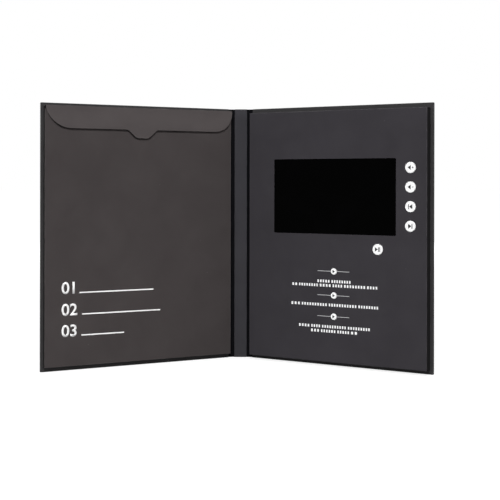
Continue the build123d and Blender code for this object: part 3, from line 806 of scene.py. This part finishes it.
spine_case = add_box("spine_case", spine_low, spine_high)
edit(spine_case)
pick_all()
round_off(edge_round, 3)
for liner_end in (liner_low.z, liner_high.z):
    slice_at((0, 0, liner_end), (0, 0, 1))
pick("FACE", on_spine_liner)
bpy.ops.mesh.inset(thickness=liner_edge)
bpy.ops.transform.translate(value=(0, -liner_step, 0))
close()
smooth(spine_case)
swing(spine_case, spine_layout)

# ---- Hinge joints: the wrap and the liner pressed together, bent round the hinge axis ----
web_bend_steps = 6
web_run_shares = (0.4, 0.6)  # the straight run to the cover is made in two


def hinge_web(name, hinge):
    """A strip from inside the spine's edge to inside the back cover's edge, bent at the hinge."""
    inner = hinge.y
    outer = hinge.y + 2 * wrap_thickness
    head = spine_high.z - web_notch
    cover_near = case_low.x + edge_round
    flat_end = web_bend * tan(cover_angle / 2)
    spine_end = spine_high.x - edge_round
    bend_start = abs(hinge.x) - flat_end
    half_way = (bend_start - spine_end) / 2
    low, high = Vector((spine_end, inner, 0)), Vector((spine_end + half_way, outer, head))
    web = add_box(name, low, high)
    edit(web)
    pick("FACE", lambda face: face.normal.x > 0.99)
    extrude((half_way, 0, 0))
    bpy.ops.mesh.spin(
        steps=web_bend_steps,
        angle=cover_angle,
        center=(bend_start, inner - web_bend, 0),
        axis=(0, 0, 1),
    )
    along = back_turn @ Vector((1, 0, 0))
    for share in web_run_shares:
        extrude(along * share * (cover_near - flat_end))
    close()
    return web


back_web = hinge_web("back_hinge_web", back_hinge)
front_web = hinge_web("front_hinge_web", front_hinge)
mirror_over(front_web)
for web in (back_web, front_web):
    edit(web)
    pick_all()
    bpy.ops.mesh.remove_doubles(threshold=touching)
    face_outwards()
    close()
    smooth(web, 30)

# ---- Video block: the face card folded over its sides, with its window and holes ----
card_low, card_high = laid_box("face_card", back_layout)
face_card = add_box("block_face_card", card_low, card_high)
edit(face_card)
pick("EDGE", lambda edge: at_front(edge, card_low.y))
round_off(block_round, 4)
pick("EDGE", lambda edge: span(edge, "y") > face_card_thickness)
round_off(block_round / 2, 3)
close()
hollow = add_box(
    "hollow",
    card_low + Vector((skirt_thickness, face_card_thickness, skirt_thickness)),
    card_high + Vector((-skirt_thickness, face_card_thickness, -skirt_thickness)),
)
cut(face_card, hollow)

lens_low, lens_high = laid_box("screen_lens", back_layout)
window = add_box(
    "window",
    Vector((lens_low.x + window_overlap, card_low.y - block_round, lens_low.z + window_overlap)),
    Vector((lens_high.x - window_overlap, lens_low.y + block_round, lens_high.z - window_overlap)),
)
edit(window)
pick("EDGE", lambda edge: span(edge, "y") > block_round)
round_off(window_corner, 6)
close()
cut(face_card, window)

button_boxes = {node: laid_box(node, back_layout) for node in button_nodes}
for low, high in button_boxes.values():
    cap_radius = (high.x - low.x) / 2 - button_flange_lip
    place = ((low.x + high.x) / 2, card_low.y, (low.z + high.z) / 2)
    cut(face_card, add_rod("hole", place, cap_radius + hole_gap, hole_depth, along_sight))

socket_low, socket_high = laid_box("usb_socket", back_layout)
mouth_gap = Vector((hole_gap, hole_gap, mouth_reach))
cut(face_card, add_box("mouth", socket_low - mouth_gap, socket_high + mouth_gap))
smooth(face_card, 30)
swing(face_card, back_layout)


# ---- Buttons: one cap for each size, copied to its places ----
def button_cap(name, node):
    """A moulded cap with a rounded rim and the flange that keeps it behind the card."""
    low, high = button_boxes[node]
    flange_radius = (high.x - low.x) / 2
    cap_radius = flange_radius - button_flange_lip
    flange_front = high.y - button_flange_thickness
    centre = Vector(((low.x + high.x) / 2, (low.y + flange_front) / 2, (low.z + high.z) / 2))
    cap = add_rod(name, centre, cap_radius, flange_front - low.y, along_sight)
    edit(cap)
    pick("EDGE", lambda edge: at_front(edge, low.y))
    round_off(button_round, 4)
    pick("FACE", lambda face: face.normal.y > 0.99)
    extrude()
    grow = flange_radius / cap_radius
    bpy.ops.transform.resize(value=(grow, 1, grow), center_override=centre)
    extrude((0, high.y - flange_front, 0))
    close()
    smooth(cap)
    return cap


def button_centre(node):
    """The middle of a button's front."""
    low, high = button_boxes[node]
    return Vector(((low.x + high.x) / 2, low.y, (low.z + high.z) / 2))


caps = {}
for node in button_nodes:
    first = "chapter_button_1" if node.startswith("chapter") else "volume_up_button"
    if first not in caps:
        caps[first] = button_cap(f"{first}_cap", first)
    if node not in caps:
        caps[node] = copy_of(caps[first], f"{node}_cap")
        bpy.ops.transform.translate(value=button_centre(node) - button_centre(first))
        settle()
for cap in caps.values():
    swing(cap, back_layout)

# ---- Prints: thin ink shapes on the caps and the card ----
# Icons: how far each mark lies from the button's middle, and its size
arrow_tip = 0.02  # height of an arrow's tip, as a share of its foot
icon_height = 0.0040
cone_reach, cone_width = 0.0009, 0.0025
sign_reach, sign_length, sign_weight = 0.0020, 0.0015, 0.00045
skip_arrow_reach, skip_arrow_width = 0.0004, 0.0027
skip_bar_reach, skip_bar_width = 0.0015, 0.00065
play_reach, play_width, play_height = 0.0011, 0.0024, 0.0036
pause_reaches, pause_width = (0.0008, 0.0020), 0.0007
chapter_arrow_reach, chapter_arrow_width, chapter_arrow_height = 0.0001, 0.0022, 0.0028


def inked(piece, name):
    """Give a flat shape in the xz plane its thickness of ink."""
    edit(piece)
    pick_all()
    extrude((0, -2 * ink, 0))
    face_outwards()
    close()
    piece.name = piece.data.name = name
    return piece


def ink_bar(place, width, height):
    """A rectangle of ink with its middle at place."""
    choose_nothing()
    bpy.ops.mesh.primitive_plane_add(
        size=1, location=place + Vector((0, ink, 0)), rotation=along_sight
    )
    bpy.context.object.scale = (width, height, 1)
    return inked(keep_place("bar"), "bar")


def ink_arrow(place, width, height, points_right=True):
    """A triangle of ink that points right or left, with its middle at place."""
    arrow = ink_bar(place, width, height)
    side = 1 if points_right else -1
    edit(arrow)
    pick("VERT", lambda vertex: (vertex.co.x - place.x) * side > 0)
    bpy.ops.transform.resize(value=(1, 1, arrow_tip), center_override=place)
    close()
    return arrow


def step(across):
    return Vector((across, 0, 0))


def volume_print(place, louder):
    """A loudspeaker's cone and a plus or minus."""
    sign_place = place + step(sign_reach)
    marks = [ink_arrow(place - step(cone_reach), cone_width, icon_height, points_right=False)]
    marks.append(ink_bar(sign_place, sign_length, sign_weight))
    if louder:
        marks.append(ink_bar(sign_place, sign_weight, sign_length))
    return marks


def skip_print(place, forward):
    """An arrow that runs up to a bar."""
    side = 1 if forward else -1
    arrow_place = place - step(skip_arrow_reach * side)
    return [
        ink_arrow(arrow_place, skip_arrow_width, icon_height, points_right=forward),
        ink_bar(place + step(skip_bar_reach * side), skip_bar_width, icon_height),
    ]


def play_pause_print(place):
    """An arrow and two bars."""
    marks = [ink_arrow(place - step(play_reach), play_width, play_height)]
    for reach in pause_reaches:
        marks.append(ink_bar(place + step(reach), pause_width, play_height))
    return marks


def chapter_print(place):
    arrow_place = place + step(chapter_arrow_reach)
    return [ink_arrow(arrow_place, chapter_arrow_width, chapter_arrow_height)]


chapter_buttons = {number: f"chapter_button_{number}" for number in (1, 2, 3)}
prints = {
    "volume_up_button": volume_print(button_centre("volume_up_button"), louder=True),
    "volume_down_button": volume_print(button_centre("volume_down_button"), louder=False),
    "previous_button": skip_print(button_centre("previous_button"), forward=False),
    "next_button": skip_print(button_centre("next_button"), forward=True),
    "play_pause_button": play_pause_print(button_centre("play_pause_button")),
}
for node in chapter_buttons.values():
    prints[node] = chapter_print(button_centre(node))
icons = {}
for node, marks in prints.items():
    icons[node] = joined(marks, f"{node}_print")
    swing(icons[node], back_layout)

# A fine rule on each side of every chapter button
rule_reach = 0.0142, 0.0152  # to the right and to the left of the button's middle
rule_height = 0.0004
rules = []
for node in chapter_buttons.values():
    centre = button_centre(node)
    low, high = button_boxes[node]
    ring = (high.x - low.x) / 2 - button_flange_lip + hole_gap
    on_card = Vector((centre.x, card_low.y, centre.z))
    for side, reach in zip((1, -1), rule_reach):
        middle = on_card + step(side * (reach + ring) / 2)
        rules.append(ink_bar(middle, reach - ring, rule_height))
chapter_rules = joined(rules, "chapter_rules")
swing(chapter_rules, back_layout)

# One or two lines under each chapter button, in groups of plain upright marks
mark_height = 0.0023
mark_pitch = 0.0023
mark_share = 0.56  # of the pitch
group_space = 0.0019
line_drops = {1: (0.0085, 0.0121), 2: (0.0081,), 3: (0.0087, 0.0125)}
line_groups = {  # chapter and line: the groups' widths
    (1, 0): (0.0112, 0.0174),
    (1, 1): (0.0045, 0.0178, 0.0100, 0.0087, 0.0189, 0.0089),
    (2, 0): (0.0080, 0.0235, 0.0252, 0.0175),
    (3, 0): (0.0097, 0.0082, 0.0220, 0.0196),
    (3, 1): (0.0074, 0.0133, 0.0106, 0.0053),
}
lines = []
for (number, row), widths in line_groups.items():
    centre = button_centre(chapter_buttons[number])
    height = centre.z - line_drops[number][row]
    length = sum(widths) + group_space * (len(widths) - 1)
    group_start = centre.x - length / 2
    for width in widths:
        count = round(width / mark_pitch)
        pitch = width / (count - 1 + mark_share)
        for mark in range(count):
            across = group_start + pitch * (mark + mark_share / 2)
            place = Vector((across, card_low.y, height))
            lines.append(ink_bar(place, mark_share * pitch, mark_height))
        group_start += width + group_space
chapter_lines = joined(lines, "chapter_lines")
swing(chapter_lines, back_layout)

# Three plain numbers on the pocket, each with a rule after it
pocket_low = laid_box("pocket_front_panel", front_layout)[0]
number_height = 0.0096
number_weight = 0.018  # of the letters' own size
number_left = -0.1539
number_lines = (0.0637, -0.0747), (0.0459, -0.0685), (0.0286, -0.1007)  # baseline, rule's end
rule_gap = 0.004
long_rule_height = 0.0010
numbers = []
for index, (baseline, rule_end) in enumerate(number_lines):
    choose_nothing()
    bpy.ops.object.text_add(rotation=along_sight)
    bpy.context.object.data.body = f"0{index + 1}"
    bpy.context.object.data.offset = number_weight
    bpy.context.object.data.resolution_u = 6
    bpy.ops.object.convert(target="MESH")
    settle()
    outline = bpy.context.object.data.vertices
    grow = number_height / max(vertex.co.z for vertex in outline)
    left = number_left - min(vertex.co.x for vertex in outline) * grow
    bpy.ops.transform.resize(value=[grow] * 3, center_override=(0, 0, 0))
    bpy.ops.transform.translate(value=(left, pocket_low.y + ink, baseline))
    number = inked(keep_place("number"), "number")
    rule_start = max(vertex.co.x for vertex in number.data.vertices) + rule_gap
    rule_middle = Vector(
        ((rule_start + rule_end) / 2, pocket_low.y, baseline + long_rule_height / 2)
    )
    numbers.append(number)
    numbers.append(ink_bar(rule_middle, rule_end - rule_start, long_rule_height))
pocket_numbers = joined(numbers, "pocket_numbers")
swing(pocket_numbers, front_layout)

# ---- Pocket flap, bowed a little off the pocket, and the two folds above it ----
bend_rows = 9
bend_columns = 16
bow_foot = 0.4  # share of the flap's drop that bows fully
bow_fade = 0.58  # share over which the bow fades to the fold
flap_low, flap_high = laid_box("pocket_flap", front_layout)
flap_drop = flap_high.z - flap_low.z

flap = copy_of(nodes["pocket_flap"], "bowed_flap")
flap.parent = None
for key in ("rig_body", "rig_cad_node"):  # the copy isn't a CAD node any more
    if key in flap:
        del flap[key]
swing(flap, front_layout.inverted())
edit(flap)
pick_all()
bpy.ops.mesh.remove_doubles(threshold=touching)
bpy.ops.mesh.dissolve_limited(angle_limit=radians(1))
for row in range(1, bend_rows):
    slice_at((0, 0, flap_low.z + flap_drop * row / bend_rows), (0, 0, 1))
for column in range(1, bend_columns):
    across = flap_low.x + (flap_high.x - flap_low.x) * column / bend_columns
    slice_at((across, 0, 0), (1, 0, 0))
pick("VERT", lambda vertex: vertex.co.z < flap_low.z + flap_drop * bow_foot)
bpy.ops.transform.translate(
    value=(0, -flap_bow, 0),
    use_proportional_edit=True,
    proportional_edit_falloff="SMOOTH",
    proportional_size=flap_drop * bow_fade,
    use_proportional_connected=False,
)
close()
cut_edge = flap.modifiers.new("rounded cut edge", "BEVEL")
cut_edge.width = flap_edge_round
cut_edge.segments = 2
cut_edge.limit_method = "ANGLE"
cut_edge.angle_limit = radians(40)
apply_modifiers(flap)
smooth(flap, 30)
swing(flap, front_layout)


def fold_bead(name, joint, folded_node):
    """The rounded crease that fills a fold of the card, along the joint's axis."""
    low, high = laid_box(folded_node, front_layout)
    axis_place = front_layout.inverted() @ Vector(joints[joint]["pos_m"])
    middle = ((low.x + high.x) / 2, axis_place.y, axis_place.z)
    bead = add_rod(name, middle, crease_radius, high.x - low.x, along_panel, sides=24)
    edit(bead)
    pick("EDGE", lambda edge: span(edge, "x") < touching)
    round_off(crease_end_round, 2)
    close()
    smooth(bead)
    swing(bead, front_layout)
    return bead


strip_crease = fold_bead("strip_crease", "flap_strip_fold", "flap_strip")
flap_crease = fold_bead("flap_crease", "flap_fold", "pocket_flap")

# ---- Materials of the case, the block and the pocket ----
charcoal = (0.036, 0.035, 0.036)
spine_grey = (0.037, 0.036, 0.041)
# painted shade: the joints' inner paper is near-black for the deep shade in the grooves
joint_painted_shade = (0.003, 0.003, 0.004)
# painted shade: the block's sides, the pocket's gussets and the flap's cut edge are near-black for
# the shade beside and under them
side_painted_shade = (0.0035, 0.003, 0.0035)
# The pocket and the block's face are one card: the pocket's colour is painted lighter and warmer
# as painted light, the block's darker and cooler as painted shade
page_painted_light = (0.047, 0.041, 0.0412)
page_painted_shade = (0.0345, 0.032, 0.0365)
# painted highlight: the flap is the pocket's card painted 1.25 times lighter, as it looks where it
# faces the lamp above
flap_painted_light = shaded(page_painted_light, 1.25)
back_box = (back_layout, case_low, case_high)
front_box = (front_layout, mirror_low, mirror_high)
spine_case_box = (spine_layout, spine_low, spine_high)
block_box = (back_layout, card_low, card_high)
panel_low, panel_high = laid_box("pocket_back_panel", front_layout)
pocket_box = (front_layout, Vector((panel_low.x, pocket_low.y, panel_low.z)), panel_high)
flap_box = (front_layout, flap_low, flap_high)
joint_reach = Vector((0.03, 0.03, 0))  # keeps the rub on the joints' paper to its ends
joint_box = (spine_layout, spine_low - joint_reach, spine_high + joint_reach)

back_wrap = coated_card("back_wrap", charcoal, *back_box)
front_wrap = coated_card("front_wrap", charcoal, *front_box)
spine_wrap = coated_card("spine_wrap_paper", charcoal, *spine_case_box)
spine_liner = coated_card("spine_liner_paper", spine_grey, *spine_case_box)
joint_wrap = coated_card("joint_wrap_paper", charcoal, *joint_box)
# painted shade inside the joints
joint_shade_liner = coated_card(
    "joint_liner_painted_shade", joint_painted_shade, *joint_box, roughness=0.75, specular=0.02
)
# the block's face carries the card's painted shade, the pocket's front below its painted light
block_card = coated_card("block_card", page_painted_shade, *block_box)
# painted shade on the block's sides
block_side_shade = coated_card(
    "block_side_painted_shade", side_painted_shade, *block_box, roughness=0.85, specular=0.01
)
pocket_card = coated_card("pocket_card", page_painted_light, *pocket_box)
# painted shade on the pocket's gussets and the flap's cut edge
gusset_painted_shade = coated_card(
    "pocket_side_painted_shade", side_painted_shade, *pocket_box, roughness=0.85, specular=0.01
)
# the flap's card carries the painted highlight
flap_card = coated_card("flap_card", flap_painted_light, *flap_box, roughness=0.55, specular=0.1)

for piece, material in (
    (back_case, back_wrap),
    (front_case, front_wrap),
    (spine_case, spine_wrap),
    (back_web, joint_wrap),
    (front_web, joint_wrap),
    (face_card, block_card),
    (flap, flap_card),
    (strip_crease, pocket_card),
    (flap_crease, flap_card),
):
    dress(piece, material)

# The block's sides, the pocket's gussets and the flap's cut edge are near-black as painted shade,
# the liner has its own grey, and the joints' inner paper is near-black as painted shade in the
# grooves
# A face straight to the reader has a turn of -1, and one straight away from the reader has 1
side_shade_turn = -0.2
# the flap's faces turned further from the reader than this get the painted shade of its cut edge
flap_edge_turn = -0.7
liner_turn = -0.5
to_block = back_layout.inverted()
to_pocket = front_layout.inverted()


def on_block_side(face):
    sideways = (to_block.to_3x3() @ face.normal).y > side_shade_turn
    return sideways and (to_block @ face.calc_center_median()).y > card_low.y + block_round


def on_liner(face):
    return face.normal.y < liner_turn


dress_faces(face_card, block_side_shade, on_block_side)
# painted shade: the flap's cut edge is near-black for the shadow under the flap
dress_faces(
    flap, gusset_painted_shade, lambda face: (to_pocket.to_3x3() @ face.normal).y > flap_edge_turn
)
dress_faces(spine_case, spine_liner, on_liner)
for web in (back_web, front_web):
    dress_faces(web, joint_shade_liner, on_liner)

# ---- Materials of the buttons, the prints and the insides ----
button_plastic = moulded_white()
white_ink = printed_ink("white_ink", (0.96, 0.96, 0.96))
grey_ink = printed_ink("grey_ink", (0.6, 0.6, 0.61))
black_ink = printed_ink("black_ink", (0.008, 0.008, 0.009))
for cap in caps.values():
    dress(cap, button_plastic)
for icon in icons.values():
    dress(icon, black_ink)
dress(chapter_rules, grey_ink)
dress(chapter_lines, white_ink)
dress(pocket_numbers, white_ink)

greyboard = board_stock("greyboard_stock", (0.45, 0.43, 0.40))
filler_stock = board_stock("filler_stock", (0.42, 0.38, 0.33))
steel = worked_metal("brushed_steel", (0.62, 0.62, 0.63), 0.3, 0.42)
foil = worked_metal("battery_foil", (0.62, 0.64, 0.66), 0.3, 0.5, stretch=[300.0] * 3)
magnet_plate = worked_metal("magnet_plate", (0.6, 0.6, 0.6), 0.18, 0.3, stretch=[500.0] * 3)
black_resin = moulded("black_resin", (0.022, 0.022, 0.024), 0.5, 0.7)
ribbon_film = moulded("ribbon_film", (0.55, 0.33, 0.10), 0.3, 0.45)
diffuser_film = moulded("diffuser_film", (0.80, 0.80, 0.78), 0.5, 0.65)
cell_glass = moulded("cell_glass", (0.02, 0.02, 0.025), 0.08, 0.15, grain=300.0, depth=0.000002)
foam_sheet = moulded("foam_sheet", (0.05, 0.05, 0.05), 0.9, 1.0, grain=1200.0, depth=0.0001)
red_sheath = moulded("lead_sheath", (0.35, 0.02, 0.02), 0.5, 0.6)
cone_pulp = moulded("cone_pulp", (0.05, 0.05, 0.05), 0.8, 0.95, grain=1500.0, depth=0.00003)

for material, names in (
    (block_card, ("block_base",)),
    (flap_card, ("flap_strip",)),
    (pocket_card, ("pocket_back_panel", "pocket_front_panel")),
    (gusset_painted_shade, ("pocket_inner_gusset", "pocket_outer_gusset", "pocket_tail_gusset")),
    (greyboard, ("back_cover_board", "front_cover_board", "spine_board")),
    (filler_stock, ("filler_tray",)),
    (screen_front(), ("screen_lens",)),
    (steel, ("screen_bezel", "usb_socket", "speaker_frame")),
    (cell_glass, ("screen_cell",)),
    (diffuser_film, ("backlight",)),
    (ribbon_film, ("screen_ribbon", "key_ribbon", "chapter_ribbon")),
    (circuit_laminate(), ("main_circuit_board", "key_circuit_board", "chapter_circuit_board")),
    (black_resin, ("processor_chip", "memory_chip", "amplifier_chip", "magnetic_switch")),
    (black_resin, ("key_switches", "chapter_switches")),
    (foil, ("board_capacitors", "battery_cell")),
    (foam_sheet, ("battery_pad",)),
    (red_sheath, ("battery_leads", "speaker_leads")),
    (magnet_plate, ("speaker_magnet", "trigger_magnet")),
    (cone_pulp, ("speaker_cone",)),
):
    for node in names:
        dress(nodes[node], material)

# ---- What each piece rides on and stands for ----
stands_for(back_case, "back_cover", "wrap_paper", "back_cover_wrap", "back_endpaper")
stands_for(front_case, "front_cover", "wrap_paper", "front_cover_wrap", "front_endpaper")
stands_for(spine_case, "spine", "wrap_paper", "spine_wrap", "spine_liner")
stands_for(face_card, "back_cover", "face_card", "face_card")
stands_for(flap, "pocket_flap", "pocket_card", "pocket_flap")
stands_for(strip_crease, "flap_strip", "pocket_card")
stands_for(flap_crease, "flap_strip", "pocket_card")
stands_for(chapter_rules, "back_cover", "button_white")
stands_for(chapter_lines, "back_cover", "button_white")
stands_for(pocket_numbers, "front_cover", "button_white")
for node, cap in caps.items():
    stands_for(cap, node, "button_white", node)
for node, icon in icons.items():
    stands_for(icon, node, "screen_black")

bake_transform(back_web)
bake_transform(front_web)
stands_for(back_web, None, "wrap_paper")
stands_for(front_web, None, "wrap_paper")

bpy.context.view_layer.update()
